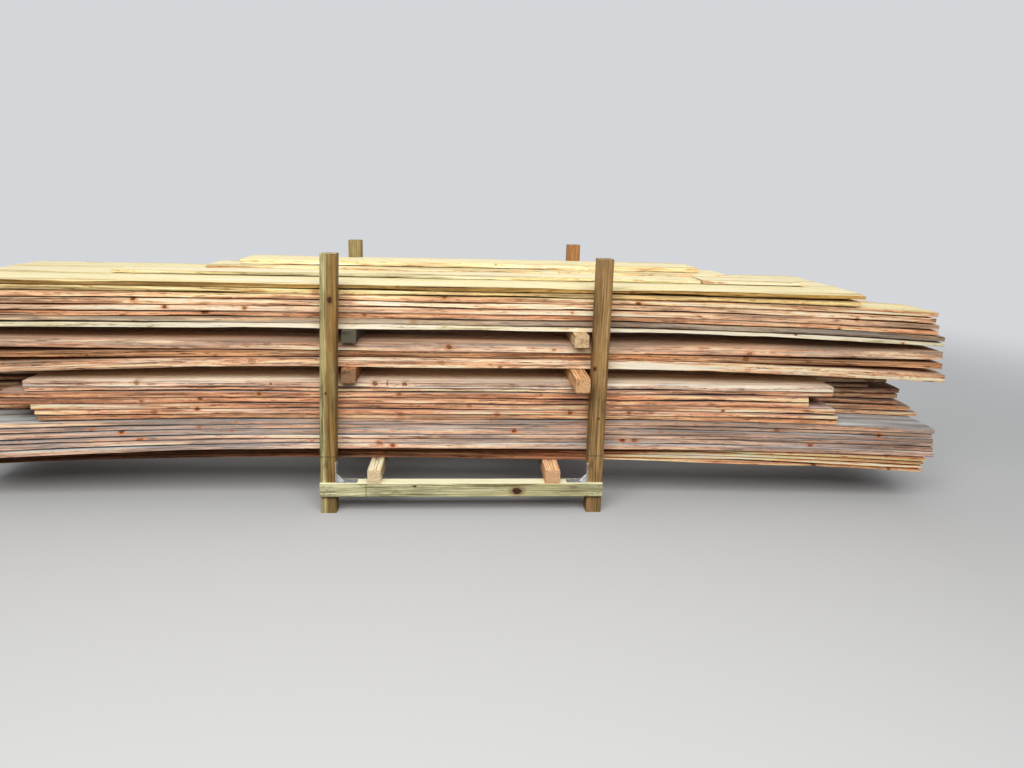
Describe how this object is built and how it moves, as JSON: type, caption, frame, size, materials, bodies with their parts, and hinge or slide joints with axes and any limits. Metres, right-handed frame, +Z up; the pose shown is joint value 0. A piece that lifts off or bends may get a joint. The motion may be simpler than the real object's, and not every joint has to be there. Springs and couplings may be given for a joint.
{
  "type": "lumber stack",
  "caption": "Long sawn boards piled in packs with cross spacers, held upright by a square-post timber cradle with a lapped cross rail and two bearers that leave fork gaps under the load.",
  "frame": {"origin": "on the ground, under the middle of the pile's length and of the cradle's depth", "axes": "X along the boards, Y from the front of the cradle to its back, Z up"},
  "size_m": [5.3101, 1.3, 1.29],
  "materials": {
    "treated_pine": "rough, pressure-treated, greenish",
    "bearer_wood": "rough sawn, fresh",
    "spacer_wood": "rough sawn, weathered",
    "cream_board": "rough sawn sapwood",
    "pink_board": "rough sawn softwood",
    "orange_board": "rough sawn heartwood",
    "grey_board": "rough sawn, weathered grey",
    "galvanised": "galvanised",
    "screw_steel": "zinc plated, dull"
  },
  "bodies": {
    "root": {"bearer_left": "bearer_wood", "bearer_right": "bearer_wood", "bottom_layer_1": "orange_board", "bottom_layer_2": "orange_board", "bottom_layer_3": "orange_board", "bottom_layer_4": "orange_board", "bracket_front_left": "galvanised", "bracket_front_right": "galvanised", "bracket_rear_left": "galvanised", "bracket_rear_right": "galvanised", "bracket_screws": "screw_steel", "grey_layer_1": "grey_board", "grey_layer_2": "grey_board", "grey_layer_3": "grey_board", "grey_layer_4": "grey_board", "grey_layer_5": "grey_board", "grey_layer_6": "grey_board", "lower_layer_1": "orange_board", "lower_layer_2": "orange_board", "lower_layer_3": "orange_board", "lower_layer_4": "orange_board", "lower_layer_5": "orange_board", "lower_layer_6": "orange_board", "lower_layer_7": "orange_board", "middle_layer_1": "pink_board", "middle_layer_2": "orange_board", "middle_layer_3": "orange_board", "post_front_left": "treated_pine", "post_front_right": "treated_pine", "post_rear_left": "treated_pine", "post_rear_right": "treated_pine", "rail_front": "treated_pine", "rail_rear": "treated_pine", "rail_screws": "screw_steel", "spacer_lower_left": "spacer_wood", "spacer_lower_right": "spacer_wood", "spacer_upper_left": "spacer_wood", "spacer_upper_right": "spacer_wood", "top_board_front": "cream_board", "top_board_lower": "orange_board", "top_board_short": "pink_board", "top_board_upper": "cream_board", "upper_layer_1": "cream_board", "upper_layer_2": "cream_board", "upper_layer_3": "pink_board", "upper_layer_4": "pink_board", "upper_layer_5": "pink_board", "upper_layer_6": "orange_board", "upper_layer_7": "grey_board", "upper_layer_8": "cream_board"}
  },
  "joints": []
}
